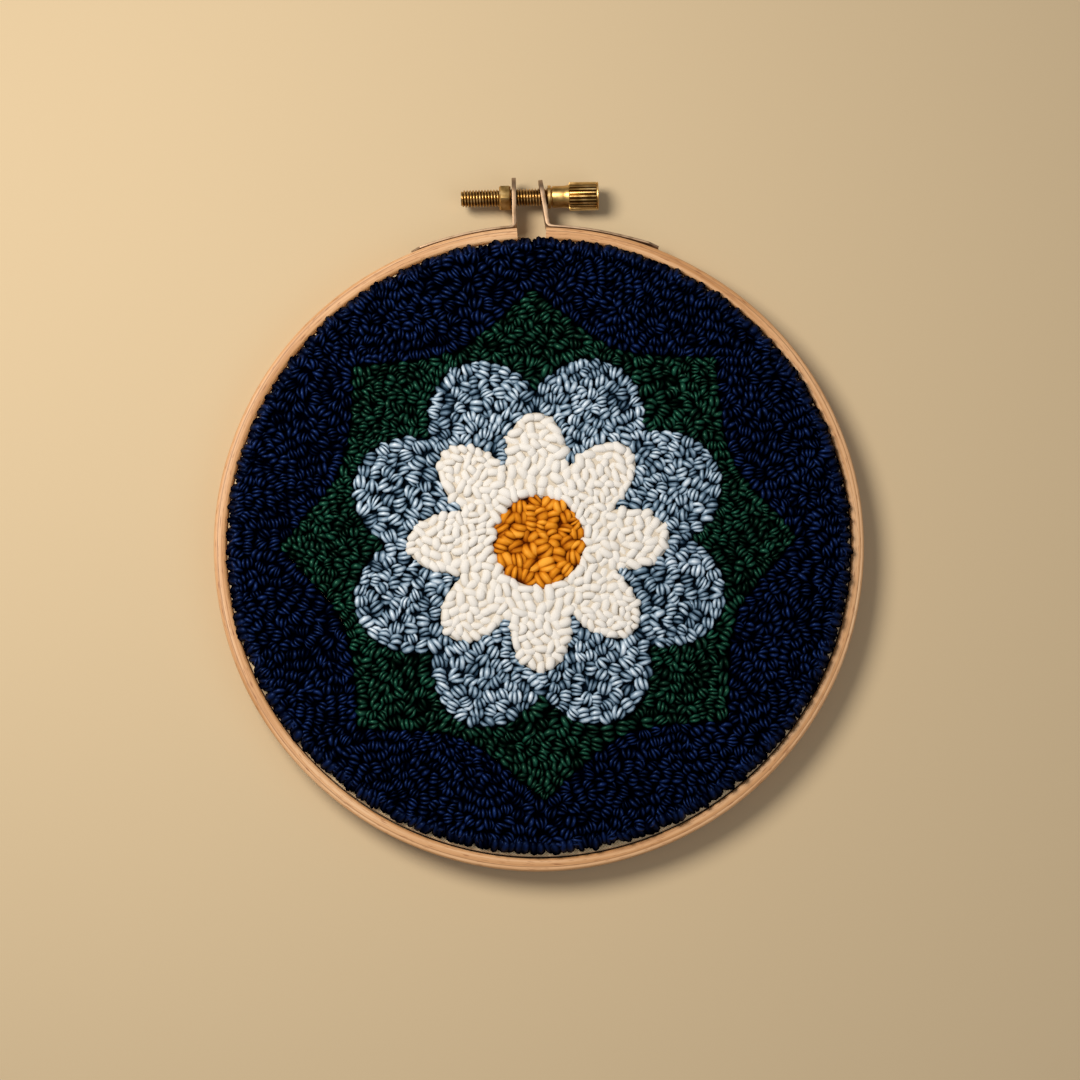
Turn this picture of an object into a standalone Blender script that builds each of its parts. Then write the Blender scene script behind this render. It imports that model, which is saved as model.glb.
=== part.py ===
"""Embroidery hoop art: a looped yarn rosette on cloth, stretched in a round wooden hoop with a screw clamp.

Blender script, metres, +Z up. The hoop lies on its back with its clamp towards +Y, and the origin is
the centre of the base of its bounding box. Run it with blender --background --python part.py.
"""

import math

import bmesh
import bpy
import numpy as np
from mathutils import Matrix

MM = 0.001
FIT_GAP = 0.3 * MM

# Hoop: an outer ring split at the clamp, and a closed inner ring with the cloth between them.
HOOP_RADIUS = 75.0 * MM
RING_WALL = 2.9 * MM
OUTER_RING_DEPTH = 9.0 * MM
INNER_RING_DEPTH = 7.5 * MM
RING_EDGE = 0.5 * MM
RING_GAP = 6.9 * MM
RING_SEGMENTS = 80

# Cloth: a disc that turns down between the rings.
CLOTH_THICKNESS = 1.0 * MM
CLOTH_EASING = 0.3 * MM
CLOTH_HEM_HEIGHT = 0.5 * MM

# Loop pile: bands of one yarn colour each, which meet at lobed curves round the centre.
LOBES = 8
ROUND_LOBE_POWER = 0.8
POINTED_LOBE_POWER = 0.9
PILE_HEIGHT = 3.0 * MM
PILE_SHOULDER = 2.1 * MM
PILE_LUMP = 0.45 * MM
SHOULDER_LUMP_SHARE = 0.5
PILE_RIM = 71.6 * MM
PILE_FOOT_INSET = 0.5 * MM
COLOUR_GAP = 0.4 * MM
PILE_COLUMNS = 144
CENTRE_COLUMNS = 40
CENTRE_ROWS = 4
CENTRE_RADIUS = 10.5 * MM
PETAL_VALLEY = 17.5 * MM
PETAL_TIP = 30.0 * MM
SLATE_VALLEY = 34.5 * MM
SLATE_TIP = 45.0 * MM
LEAF_VALLEY = 48.5 * MM
LEAF_TIP = 59.5 * MM

# Clamp: two bent steel straps, a screw through their ears and a nut on it. The strip is folded double
# in the ears.
EAR_HEIGHT = 12.7 * MM
EAR_THICKNESS = 1.0 * MM
FOOT_THICKNESS = 0.5 * MM
STRAP_WIDTH = 6.5 * MM
STRAP_BEND = 1.2 * MM
STRAP_TIP_ROUND = 2.2 * MM
STRAP_TIP_NARROWING = 0.7
EAR_STEPS = 8
BEND_STEPS = 5
FOOT_STEPS = 11
EAR_HOLE_RADIUS = 2.4 * MM
SCREW_ABOVE_RING = 8.2 * MM
SCREW_CENTRE_Z = OUTER_RING_DEPTH / 2
THREAD_RADIUS = 2.05 * MM
THREAD_ROOT = 1.62 * MM
THREAD_PITCH = 0.7 * MM
THREAD_SIDES = 12
THREAD_IN_COLLAR = 0.3 * MM
SCREW_TIP_X = -16.5 * MM
COLLAR_X = 4.0 * MM
COLLAR_RADIUS = 2.75 * MM
COLLAR_WIDTH = 0.8 * MM
COLLAR_EASING = 0.2 * MM
NECK_RADIUS = 2.1 * MM
BARREL_X = 5.0 * MM
BARREL_RADIUS = 2.6 * MM
BARREL_SHOULDER = 0.3 * MM
BARREL_FLARE = 0.8 * MM
HEAD_X = 9.0 * MM
HEAD_LENGTH = 7.0 * MM
HEAD_RADIUS = 3.35 * MM
KNURL_RIDGES = 24
KNURL_DEPTH = 0.3 * MM
NUT_ACROSS_FLATS = 5.7 * MM
NUT_LENGTH = 2.7 * MM
NUT_BORE_RADIUS = 2.36 * MM
NUT_EASING = 0.35 * MM
NUT_TURN = math.radians(15)
TURNED_SIDES = 24

# Each strap: the side it is on, where its ear starts at the ring and ends at the top, and its foot.
STRAPS = (
    {"name": "strap_left", "side": -1, "foot_x": 3.95 * MM, "top_x": 3.95 * MM, "ear": EAR_HEIGHT,
     "foot_end_x": 28.3 * MM, "tip_lift": 0.1 * MM},
    {"name": "strap_right", "side": 1, "foot_x": 3.75 * MM, "top_x": 2.3 * MM, "ear": 12.0 * MM,
     "foot_end_x": 29.6 * MM, "tip_lift": 0.5 * MM},
)

# Bands of the pile outside the middle: the colour edges that each lies between, and its rows of lumps.
BANDS = (
    {"name": "pile_petals", "inner": "centre", "outer": "petals", "rows": 4, "foot_inset": 0, "seed": 2},
    {"name": "pile_slate", "inner": "petals", "outer": "slate", "rows": 5, "foot_inset": 0, "seed": 3},
    {"name": "pile_leaves", "inner": "slate", "outer": "leaves", "rows": 5, "foot_inset": 0, "seed": 4},
    {"name": "pile_ground", "inner": "leaves", "outer": "ground", "rows": 7,
     "foot_inset": PILE_FOOT_INSET, "seed": 5},
)

# Heights and radii that follow from the sizes above.
CLOTH_UNDER = INNER_RING_DEPTH + FIT_GAP
CLOTH_TOP = CLOTH_UNDER + CLOTH_THICKNESS
PILE_BASE = CLOTH_TOP + FIT_GAP
SKIRT_RADIUS = HOOP_RADIUS - RING_WALL - FIT_GAP
INNER_RING_RADIUS = SKIRT_RADIUS - CLOTH_THICKNESS - FIT_GAP
SCREW_Y = HOOP_RADIUS + SCREW_ABOVE_RING
HOOP_CENTRE_Y = -EAR_HEIGHT / 2


def linear(hex_colour):
    """The linear colour of an sRGB hex value such as 8c6a2f."""
    parts = [int(hex_colour[i:i + 2], 16) / 255 for i in (0, 2, 4)]
    return [c / 12.92 if c <= 0.04045 else ((c + 0.055) / 1.055) ** 2.4 for c in parts] + [1.0]


def finish(name, hex_colour, roughness, metallic=0.0):
    """A Principled BSDF material of one colour."""
    material = bpy.data.materials.new(name)
    material.use_nodes = True
    shader = material.node_tree.nodes["Principled BSDF"]
    shader.inputs["Base Color"].default_value = linear(hex_colour)
    shader.inputs["Roughness"].default_value = roughness
    shader.inputs["Metallic"].default_value = metallic
    return material


def clear_scene():
    for obj in list(bpy.data.objects):
        bpy.data.objects.remove(obj, do_unlink=True)


def add_object(name, bm, material, parent, smooth_below=40):
    """Turns a bmesh into an object under parent, with outward faces and edges sharp past an angle."""
    bmesh.ops.recalc_face_normals(bm, faces=bm.faces)
    mesh = bpy.data.meshes.new(name)
    bm.to_mesh(mesh)
    bm.free()
    mesh.shade_smooth()
    mesh.set_sharp_from_angle(angle=math.radians(smooth_below))
    if material:
        mesh.materials.append(material)
    obj = bpy.data.objects.new(name, mesh)
    bpy.context.scene.collection.objects.link(obj)
    obj.parent = parent
    return obj


def combine(obj, tool, operation):
    """A Boolean of obj with tool, which is then a hidden helper."""
    boolean = obj.modifiers.new(tool.name, "BOOLEAN")
    boolean.operation = operation
    boolean.object = tool
    boolean.solver = "EXACT"
    tool.hide_render = True
    tool.display_type = "WIRE"


def turned(profile, sides, sweep=math.tau, start=0.0):
    """A bmesh of the closed profile of (radius, height) points, spun round Z from the angle start."""
    bm = bmesh.new()
    points = [(r * math.cos(start), r * math.sin(start), z) for r, z in profile]
    verts = [bm.verts.new(p) for p in points]
    if sweep < math.tau:
        geometry = [bm.faces.new(verts)]
    else:
        geometry = verts + [bm.edges.new(pair) for pair in zip(verts, verts[1:])]
        if profile[0][0] > 0:
            geometry.append(bm.edges.new((verts[-1], verts[0])))
    bmesh.ops.spin(bm, geom=geometry, cent=(0, 0, 0), axis=(0, 0, 1), angle=sweep, steps=sides)
    bmesh.ops.remove_doubles(bm, verts=bm.verts, dist=1e-7)
    return bm


def lofted(sections, closed):
    """A bmesh of faces between rows of points: shape (sections, points, 3), each row a closed loop."""
    bm = bmesh.new()
    rows = [[bm.verts.new(p) for p in section] for section in sections]
    pairs = list(zip(rows, rows[1:]))
    if closed:
        pairs.append((rows[-1], rows[0]))
    else:
        bm.faces.new(rows[0])
        bm.faces.new(rows[-1])
    for here, there in pairs:
        for i in range(len(here)):
            bm.faces.new((here[i - 1], here[i], there[i], there[i - 1]))
    return bm


def along_x(bm):
    """Turns a shape that was built round Z so that its axis is X."""
    bmesh.ops.rotate(bm, verts=bm.verts, matrix=Matrix.Rotation(math.pi / 2, 3, "Y"))
    return bm


def outer_ring(material, hoop):
    """The split ring, of a section with eased edges, whose ends stand a gap apart at the clamp."""
    outer, inner = HOOP_RADIUS, HOOP_RADIUS - RING_WALL
    top, edge = OUTER_RING_DEPTH, RING_EDGE
    profile = [
        (outer - edge, top), (outer, top - edge), (outer, edge), (outer - edge, 0),
        (inner + edge, 0), (inner, edge), (inner, top - edge), (inner + edge, top),
    ]
    half_gap = math.asin(RING_GAP / 2 / HOOP_RADIUS)
    bm = turned(profile, RING_SEGMENTS, math.tau - 2 * half_gap, math.pi / 2 + half_gap)
    return add_object("outer_ring", bm, material, hoop)


def inner_ring(material, hoop):
    outer, inner = INNER_RING_RADIUS, INNER_RING_RADIUS - RING_WALL
    top, edge = INNER_RING_DEPTH, RING_EDGE
    profile = [
        (outer - edge, top), (outer, top - edge), (outer, 0),
        (inner, 0), (inner, top - edge), (inner + edge, top),
    ]
    return add_object("inner_ring", turned(profile, RING_SEGMENTS), material, hoop)


def ground_cloth(material, hoop):
    """The cloth: its disc over the inner ring, and its skirt down between the two rings."""
    outside, inside = SKIRT_RADIUS, SKIRT_RADIUS - CLOTH_THICKNESS
    profile = [
        (0, CLOTH_TOP), (outside - CLOTH_THICKNESS, CLOTH_TOP),
        (outside - CLOTH_EASING, CLOTH_TOP - CLOTH_EASING), (outside, CLOTH_UNDER),
        (outside, CLOTH_HEM_HEIGHT), (inside, CLOTH_HEM_HEIGHT),
        (inside, CLOTH_UNDER - FIT_GAP), (inside - FIT_GAP, CLOTH_UNDER), (0, CLOTH_UNDER),
    ]
    return add_object("ground_cloth", turned(profile, RING_SEGMENTS), material, hoop)


def round_lobes(angles, valley, tip, turn):
    """Radius of a curve with rounded lobes: the valley plus the rise times |cos| of half the lobe angle."""
    return valley + (tip - valley) * np.abs(np.cos(LOBES / 2 * (angles - turn))) ** ROUND_LOBE_POWER


def pointed_lobes(angles, valley, tip, turn):
    """Radius of a curve with pointed lobes: the tip minus the rise times |sin| of half the lobe angle."""
    return tip - (tip - valley) * np.abs(np.sin(LOBES / 2 * (angles - turn))) ** POINTED_LOBE_POWER


def colour_edges(angles):
    """The curves, from the centre outwards, where one yarn colour stops and the next starts.

    The slate lobes are turned by half a lobe, so that they stand between the petals.
    """
    half_lobe = math.pi / LOBES
    return {
        "centre": np.full_like(angles, CENTRE_RADIUS),
        "petals": round_lobes(angles, PETAL_VALLEY, PETAL_TIP, 0),
        "slate": round_lobes(angles, SLATE_VALLEY, SLATE_TIP, half_lobe),
        "leaves": pointed_lobes(angles, LEAF_VALLEY, LEAF_TIP, 0),
        "ground": np.full_like(angles, PILE_RIM + COLOUR_GAP / 2),
    }


def around(radii, angles, heights):
    return np.stack([radii * np.cos(angles), radii * np.sin(angles), heights], axis=-1)


def lump_height(lumps, at_edge):
    """Height of one row of lumps: the pile's full height, or its shoulder with lower lumps at an edge."""
    if at_edge:
        return PILE_BASE + PILE_SHOULDER + lumps * SHOULDER_LUMP_SHARE
    return PILE_BASE + PILE_HEIGHT + lumps


def pile_band(band, edges, material, hoop):
    """A slab of loops between two curves, lumpy on top, with its edges rolled down to the shoulder."""
    angles = np.arange(PILE_COLUMNS) / PILE_COLUMNS * math.tau
    inner = edges[band["inner"]] + COLOUR_GAP / 2
    outer = edges[band["outer"]] - COLOUR_GAP / 2
    rows = band["rows"]
    lumps = np.random.default_rng(band["seed"]).uniform(-PILE_LUMP, PILE_LUMP, (rows + 1, PILE_COLUMNS))
    rings = [around(outer - band["foot_inset"], angles, np.full_like(angles, PILE_BASE))]
    rings.append(around(inner, angles, np.full_like(angles, PILE_BASE)))
    for row in range(rows + 1):
        rise = lump_height(lumps[row], row in (0, rows))
        rings.append(around(inner + (outer - inner) * row / rows, angles, rise))
    sections = np.stack(rings, axis=1)
    return add_object(band["name"], lofted(sections, closed=True), material, hoop, smooth_below=180)


def pile_centre(material, hoop):
    """The domed button of loops in the middle."""
    angles = np.arange(CENTRE_COLUMNS) / CENTRE_COLUMNS * math.tau
    lumps = np.random.default_rng(1).uniform(-PILE_LUMP, PILE_LUMP, (CENTRE_ROWS, CENTRE_COLUMNS))
    edge = np.full_like(angles, CENTRE_RADIUS - COLOUR_GAP / 2)
    rings = [around(edge, angles, np.full_like(angles, PILE_BASE))]
    for row in range(CENTRE_ROWS):
        share = 1 - row / CENTRE_ROWS
        rings.append(around(edge * share, angles, lump_height(lumps[row], row == 0)))
    sections = np.stack(rings)
    return add_object("pile_centre", lofted(sections, closed=False), material, hoop, smooth_below=180)


def strap_path(strap):
    """Points down the ear, round its bend and out along the ring, in the hoop's plane, for the +X side."""
    along_ring = HOOP_RADIUS + FIT_GAP + FOOT_THICKNESS / 2
    bend_x = strap["foot_x"] + STRAP_BEND
    bend_y = math.sqrt((along_ring + STRAP_BEND) ** 2 - bend_x ** 2)
    top_y = HOOP_RADIUS + strap["ear"]
    start = math.atan2(bend_x, bend_y)
    end = math.asin(strap["foot_end_x"] / along_ring)
    ear = np.linspace(0, 1, EAR_STEPS + 1)[:, None]
    straight = (1 - ear) * [strap["top_x"], top_y] + ear * [strap["foot_x"], bend_y]
    turn = np.linspace(math.pi, math.pi * 1.5 - start, BEND_STEPS + 1)[1:, None]
    bend = np.hstack([bend_x + STRAP_BEND * np.cos(turn), bend_y + STRAP_BEND * np.sin(turn)])
    spread = np.linspace(start, end, FOOT_STEPS + 1)[1:, None]
    lifted = along_ring + strap["tip_lift"] * ((spread - start) / (end - start)) ** 4
    foot = np.hstack([lifted * np.sin(spread), lifted * np.cos(spread)])
    return np.vstack([straight, bend, foot])


def strap_half_widths(path):
    """Half the strap's width at each point: full, and drawn in to a round at the ear's top and the tip."""
    steps = np.linalg.norm(np.diff(path, axis=0), axis=1)
    along = np.concatenate([[0], np.cumsum(steps)])
    half = STRAP_WIDTH / 2
    from_top = np.clip(along / half, 0.1, 1)
    from_tip = np.clip((along[-1] - along) / STRAP_TIP_ROUND, 0, 1)
    return half * np.sqrt(1 - (1 - from_top) ** 2) * np.sqrt(1 - STRAP_TIP_NARROWING * (1 - from_tip) ** 2)


def strap_half_thickness():
    """Half the strap's thickness at each point: the ear's, less and less round the bend, then the foot's."""
    bend = np.linspace(EAR_THICKNESS, FOOT_THICKNESS, BEND_STEPS + 1)[1:]
    thickness = [np.full(EAR_STEPS + 1, EAR_THICKNESS), bend, np.full(FOOT_STEPS, FOOT_THICKNESS)]
    return np.concatenate(thickness)[:, None] / 2


def clamp_strap(strap, material, hoop):
    """One bent strap: a row of rectangles along its path, and a hole through its ear."""
    path = strap_path(strap)
    half = strap_half_widths(path)[:, None]
    ahead = np.gradient(path, axis=0)
    ahead /= np.linalg.norm(ahead, axis=1)[:, None]
    across = np.stack([-ahead[:, 1], ahead[:, 0]], axis=1) * strap_half_thickness()
    corners = [(1, -1), (1, 1), (-1, 1), (-1, -1)]
    sections = np.stack(
        [np.hstack([path + face * across, SCREW_CENTRE_Z + edge * half]) for face, edge in corners], axis=1)
    sections[:, :, 0] *= strap["side"]
    obj = add_object(strap["name"], lofted(sections, closed=False), material, hoop, smooth_below=30)
    combine(obj, bore_tool(strap["name"] + "_hole", EAR_HOLE_RADIUS, hoop), "DIFFERENCE")
    return obj


def bore_tool(name, radius, hoop):
    """A long round bar on the screw's axis, which cuts a hole."""
    bm = bmesh.new()
    bmesh.ops.create_cone(
        bm, cap_ends=True, segments=TURNED_SIDES, radius1=radius, radius2=radius, depth=HOOP_RADIUS / 2)
    tool = add_object(name, along_x(bm), None, hoop)
    tool.location = (0, SCREW_Y, SCREW_CENTRE_Z)
    return tool


def clamp_nut(material, hoop):
    """A hexagonal nut against the left ear: its outline in polar form, with the corners turned off."""
    angles = np.arange(TURNED_SIDES) / TURNED_SIDES * math.tau
    from_flat = (angles + math.pi / 6) % (math.pi / 3) - math.pi / 6
    flat = NUT_ACROSS_FLATS / 2
    hexagon = flat / np.cos(from_flat)
    half, easing = NUT_LENGTH / 2, NUT_EASING
    turned_off = np.minimum(hexagon, flat - easing / 2)
    stations = [
        (-half, NUT_BORE_RADIUS), (-half, turned_off), (easing - half, hexagon),
        (half - easing, hexagon), (half, turned_off), (half, NUT_BORE_RADIUS),
    ]
    turn = angles + NUT_TURN
    sections = [
        np.stack([np.full_like(angles, x), radii * np.cos(turn), radii * np.sin(turn)], axis=-1)
        for x, radii in stations
    ]
    ring = lofted(np.stack(sections, axis=1), closed=True)
    nut = add_object("clamp_nut", ring, material, hoop, smooth_below=20)
    ear_face = STRAPS[0]["foot_x"] + EAR_THICKNESS / 2
    nut.location = (-ear_face - FIT_GAP - half, SCREW_Y, SCREW_CENTRE_Z)
    return nut


def screw_thread():
    """A root, crest, root profile carried along a helix. Each turn is welded to the next one.

    It starts two turns before the tip and ends one past the collar, and what lies outside is pressed flat.
    """
    turns_before, turns_after = 2, 1
    turns = (COLLAR_X - SCREW_TIP_X) / THREAD_PITCH + turns_before + turns_after
    u = np.arange(int(turns * THREAD_SIDES) + 1) / THREAD_SIDES
    across = np.array([0, 0.5, 1])
    x = SCREW_TIP_X + THREAD_PITCH * (u[:, None] + across - turns_before)
    radius = np.broadcast_to([THREAD_ROOT, THREAD_RADIUS, THREAD_ROOT], x.shape).copy()
    end = COLLAR_X + THREAD_IN_COLLAR
    radius[(x <= SCREW_TIP_X) | (x >= end)] = THREAD_ROOT
    x = np.clip(x, SCREW_TIP_X, end)
    angle = np.broadcast_to(u[:, None] * math.tau, x.shape)
    points = np.stack([x, radius * np.cos(angle), radius * np.sin(angle)], axis=-1)
    bm = bmesh.new()
    rows = [[bm.verts.new(p) for p in row] for row in points]
    for here, there in zip(rows, rows[1:]):
        for i in (1, 2):
            bm.faces.new((here[i - 1], here[i], there[i], there[i - 1]))
    bmesh.ops.remove_doubles(bm, verts=bm.verts, dist=1e-6)
    bmesh.ops.dissolve_degenerate(bm, edges=bm.edges, dist=1e-7)
    loose = [e for e in bm.edges if not e.link_faces]
    bmesh.ops.delete(bm, geom=loose, context="EDGES")
    bmesh.ops.holes_fill(bm, edges=[e for e in bm.edges if e.is_boundary], sides=0)
    return bm


def knurled_head():
    """The grip: a round bar whose outline goes in and out once a ridge, eased at both ends."""
    points = 2 * KNURL_RIDGES
    angles = np.arange(points) / points * math.tau
    ridged = HEAD_RADIUS - KNURL_DEPTH * (np.arange(points) % 2)
    eased = np.full_like(ridged, HEAD_RADIUS - 2 * KNURL_DEPTH)
    last = HEAD_X + HEAD_LENGTH
    stations = [(HEAD_X, eased), (HEAD_X + KNURL_DEPTH, ridged), (last - KNURL_DEPTH, ridged), (last, eased)]
    sections = [
        np.stack([np.full(points, x), radii * np.cos(angles), radii * np.sin(angles)], axis=-1)
        for x, radii in stations
    ]
    return lofted(np.stack(sections), closed=False)


def clamp_screw(material, hoop):
    """The thumb screw: thread, collar, neck, barrel and knurled grip, turned from one bar."""
    grip = add_object("clamp_screw", knurled_head(), material, hoop)
    into_grip = HEAD_X + HEAD_LENGTH / 2
    neck_x = COLLAR_X + COLLAR_WIDTH
    profile = [
        (0, COLLAR_X), (COLLAR_RADIUS - COLLAR_EASING, COLLAR_X), (COLLAR_RADIUS, COLLAR_X + COLLAR_EASING),
        (COLLAR_RADIUS, neck_x - COLLAR_EASING), (NECK_RADIUS, neck_x), (NECK_RADIUS, BARREL_X),
        (BARREL_RADIUS, BARREL_X + BARREL_SHOULDER), (BARREL_RADIUS, HEAD_X - BARREL_FLARE),
        (COLLAR_RADIUS, HEAD_X + COLLAR_EASING), (COLLAR_RADIUS, into_grip), (0, into_grip),
    ]
    barrel = add_object("clamp_screw_barrel", along_x(turned(profile, TURNED_SIDES)), None, hoop)
    thread = add_object("clamp_screw_thread", screw_thread(), None, hoop)
    for piece in (grip, barrel, thread):
        piece.location = (0, SCREW_Y, SCREW_CENTRE_Z)
    combine(grip, barrel, "UNION")
    combine(grip, thread, "UNION")
    return grip


def build():
    clear_scene()
    hoop = bpy.data.objects.new("hoop_centre", None)
    bpy.context.scene.collection.objects.link(hoop)
    hoop.location = (0, HOOP_CENTRE_Y, 0)
    wood = finish("beech", "d6a678", 0.5)
    steel = finish("nickelled steel", "a89078", 0.35, metallic=1.0)
    brass = finish("brass", "b88a45", 0.35, metallic=1.0)
    cloth = finish("cream cotton cloth", "d8c4a4", 0.9)
    yarns = {
        "centre": finish("mustard yarn", "c5771c", 0.8),
        "petals": finish("off-white yarn", "e5dfd4", 0.85),
        "slate": finish("blue-grey yarn", "7e919f", 0.7),
        "leaves": finish("dark green yarn", "123f30", 0.7),
        "ground": finish("navy yarn", "121d36", 0.75),
    }
    outer_ring(wood, hoop)
    inner_ring(wood, hoop)
    ground_cloth(cloth, hoop)
    edges = colour_edges(np.arange(PILE_COLUMNS) / PILE_COLUMNS * math.tau)
    pile_centre(yarns["centre"], hoop)
    for band in BANDS:
        pile_band(band, edges, yarns[band["outer"]], hoop)
    for strap in STRAPS:
        clamp_strap(strap, steel, hoop)
    clamp_nut(brass, hoop)
    clamp_screw(brass, hoop)


build()
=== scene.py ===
# %% [markdown]
# # A looped yarn rosette in a wooden embroidery hoop
# The real thing is a round of cotton cloth, gripped between two bent beech rings, with yarn punched
# through it from the back so that loops stand up on the face. A brass thumb screw and two bent steel
# straps draw the split outer ring together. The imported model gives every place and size. This lesson
# dresses it: thousands of small strands for the loops, rounded rings, a woven cloth and turned brass.

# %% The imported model
import math

import bmesh
import bpy
import numpy as np
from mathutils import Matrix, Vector


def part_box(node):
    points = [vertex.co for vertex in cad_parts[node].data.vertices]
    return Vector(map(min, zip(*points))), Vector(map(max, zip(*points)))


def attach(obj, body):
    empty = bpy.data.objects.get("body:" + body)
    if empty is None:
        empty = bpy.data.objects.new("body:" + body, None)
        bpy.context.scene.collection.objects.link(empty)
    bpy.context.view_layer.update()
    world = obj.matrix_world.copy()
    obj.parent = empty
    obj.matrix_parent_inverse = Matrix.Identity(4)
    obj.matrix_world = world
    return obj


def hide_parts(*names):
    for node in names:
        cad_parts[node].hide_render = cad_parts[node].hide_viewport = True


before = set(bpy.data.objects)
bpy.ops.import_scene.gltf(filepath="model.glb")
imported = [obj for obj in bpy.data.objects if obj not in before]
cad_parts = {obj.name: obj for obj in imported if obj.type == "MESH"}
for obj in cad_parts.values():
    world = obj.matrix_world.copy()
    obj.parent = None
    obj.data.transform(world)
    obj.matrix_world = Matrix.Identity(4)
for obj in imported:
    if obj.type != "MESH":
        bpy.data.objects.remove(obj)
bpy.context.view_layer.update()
MM = 0.001
print("nodes:", sorted(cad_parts))

# %% [markdown]
# ## Sizes from the model
# Everything round shares the hoop's centre, which is the middle of the inner ring's box. The radii and
# heights are read from the boxes of the nodes, so that the looks follow the model if it changes.

# %% Where things are


def spans(node):
    """The lowest corner, highest corner and middle of a node's box, as arrays in metres."""
    low, high = (np.array(corner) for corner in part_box(node))
    return low, high, (low + high) / 2


RING_LOW, RING_HIGH, _ = spans("outer_ring")
INNER_LOW, INNER_HIGH, HOOP_CENTRE = spans("inner_ring")
CLOTH_LOW, CLOTH_HIGH, _ = spans("ground_cloth")
PILE_LOW, PILE_HIGH, _ = spans("pile_ground")
RING_RADIUS = (RING_HIGH[0] - RING_LOW[0]) / 2
INNER_RADIUS = (INNER_HIGH[0] - INNER_LOW[0]) / 2
CLOTH_RADIUS = (CLOTH_HIGH[0] - CLOTH_LOW[0]) / 2
RIM_RADIUS = (PILE_HIGH[0] - PILE_LOW[0]) / 2
CROWN_ROOM = 0.1 * MM
PILE_BASE, PILE_TOP = PILE_LOW[2], PILE_HIGH[2] - CROWN_ROOM
RING_WALL = 2.9 * MM
RING_GAP = 6.9 * MM
print(f"hoop {2000 * RING_RADIUS:.1f} mm across,",
      f"pile from {1000 * PILE_BASE:.1f} to {1000 * PILE_TOP:.1f} mm")

# %% [markdown]
# ## Meshes from arrays
# A shape here is a grid of points worked out by a formula, whole arrays at a time. Small functions
# number the corners of its faces, for a grid that may join up with itself and for the fans of triangles
# that close its ends, and one more hands the points and faces to Blender.

# %% Mesh helpers


def make_piece(name, points, quads, triangles=None, uv=None, body="root", material=None):
    """A smooth object from points (n, 3) and corner numbers of its faces. uv has one pair for each corner."""
    triangles = np.zeros((0, 3), int) if triangles is None else triangles
    corners = np.concatenate([quads.ravel(), triangles.ravel()]).astype(np.int32)
    sizes = np.concatenate([np.full(len(quads), 4), np.full(len(triangles), 3)]).astype(np.int32)
    starts = np.concatenate([[0], np.cumsum(sizes)[:-1]]).astype(np.int32)
    mesh = bpy.data.meshes.new(name)
    mesh.vertices.add(len(points))
    mesh.vertices.foreach_set("co", np.asarray(points, np.float32).ravel())
    mesh.loops.add(len(corners))
    mesh.loops.foreach_set("vertex_index", corners)
    mesh.polygons.add(len(sizes))
    mesh.polygons.foreach_set("loop_start", starts)
    mesh.polygons.foreach_set("loop_total", sizes)
    mesh.update(calc_edges=True)
    mesh.shade_smooth()
    if uv is not None:
        mesh.uv_layers.new(name="flat").data.foreach_set("uv", np.asarray(uv, np.float32).ravel())
    return dress(bpy.data.objects.new(name, mesh), body, material)


def dress(piece, body, material):
    """Puts a piece in the scene with its material, on its body."""
    if piece.name not in bpy.context.scene.collection.objects:
        bpy.context.scene.collection.objects.link(piece)
    piece.data.materials.clear()
    piece.data.materials.append(material)
    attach(piece, body)
    return piece


def grid_quads(rows, columns, wrap_rows, wrap_columns):
    """Corner numbers of the quads of a grid of rows by columns of points. A wrapped side joins its start."""
    i = np.arange(rows if wrap_rows else rows - 1)[:, None]
    j = np.arange(columns if wrap_columns else columns - 1)[None, :]
    next_i, next_j = (i + 1) % rows, (j + 1) % columns
    quads = np.stack(np.broadcast_arrays(
        i * columns + j, next_i * columns + j, next_i * columns + next_j, i * columns + next_j), axis=-1)
    return quads.reshape(-1, 4)


def end_fans(columns, start_pole, end_pole, last):
    """Triangles from one pole to a grid's first ring, and from another to its last, which starts at last."""
    j = np.arange(columns)
    next_j = (j + 1) % columns
    return np.concatenate([
        np.stack([np.full(columns, start_pole), next_j, j], axis=1),
        np.stack([np.full(columns, end_pole), last + j, last + next_j], axis=1)])


def grid_uv(u, v):
    """The uv pair of each corner of a grid's quads, where u has one value more than a wrapped side."""
    cell = np.stack(np.meshgrid(u, v, indexing="ij"), axis=-1)
    return np.stack([cell[:-1, :-1], cell[1:, :-1], cell[1:, 1:], cell[:-1, 1:]], axis=2).reshape(-1, 2)


def about_hoop(radius, angle, height):
    """Points at a radius and an angle about the hoop's centre, at a height: (x, y) is r times (cos, sin)."""
    x = HOOP_CENTRE[0] + radius * np.cos(angle)
    y = HOOP_CENTRE[1] + radius * np.sin(angle)
    return np.stack(np.broadcast_arrays(x, y, height), axis=-1)


# %% [markdown]
# ## Materials
# Each one starts from its real substance. Colours are sRGB hex values, which Blender wants linear. One
# function adds a node, sets its values and links its inputs, and every material is a short list of calls.

# %% Material helpers


def linear(hex_colour):
    """The linear RGBA of an sRGB hex value such as d6a678."""
    parts = [int(hex_colour[i:i + 2], 16) / 255 for i in (0, 2, 4)]
    return [c / 12.92 if c <= 0.04045 else ((c + 0.055) / 1.055) ** 2.4 for c in parts] + [1.0]


def add(tree, kind, sockets=(), **settings):
    """Adds a node. settings are its properties, and sockets pairs of an input with a value or an output."""
    node = tree.nodes.new("ShaderNode" + kind)
    for name, value in settings.items():
        setattr(node, name, value)
    for key, value in dict(sockets).items():
        if isinstance(value, bpy.types.NodeSocket):
            tree.links.new(value, node.inputs[key])
        else:
            node.inputs[key].default_value = value
    return node


def new_material(name):
    """A material with its node tree and its empty Principled shader."""
    material = bpy.data.materials.new(name)
    material.use_nodes = True
    return material, material.node_tree, material.node_tree.nodes["Principled BSDF"]


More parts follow.
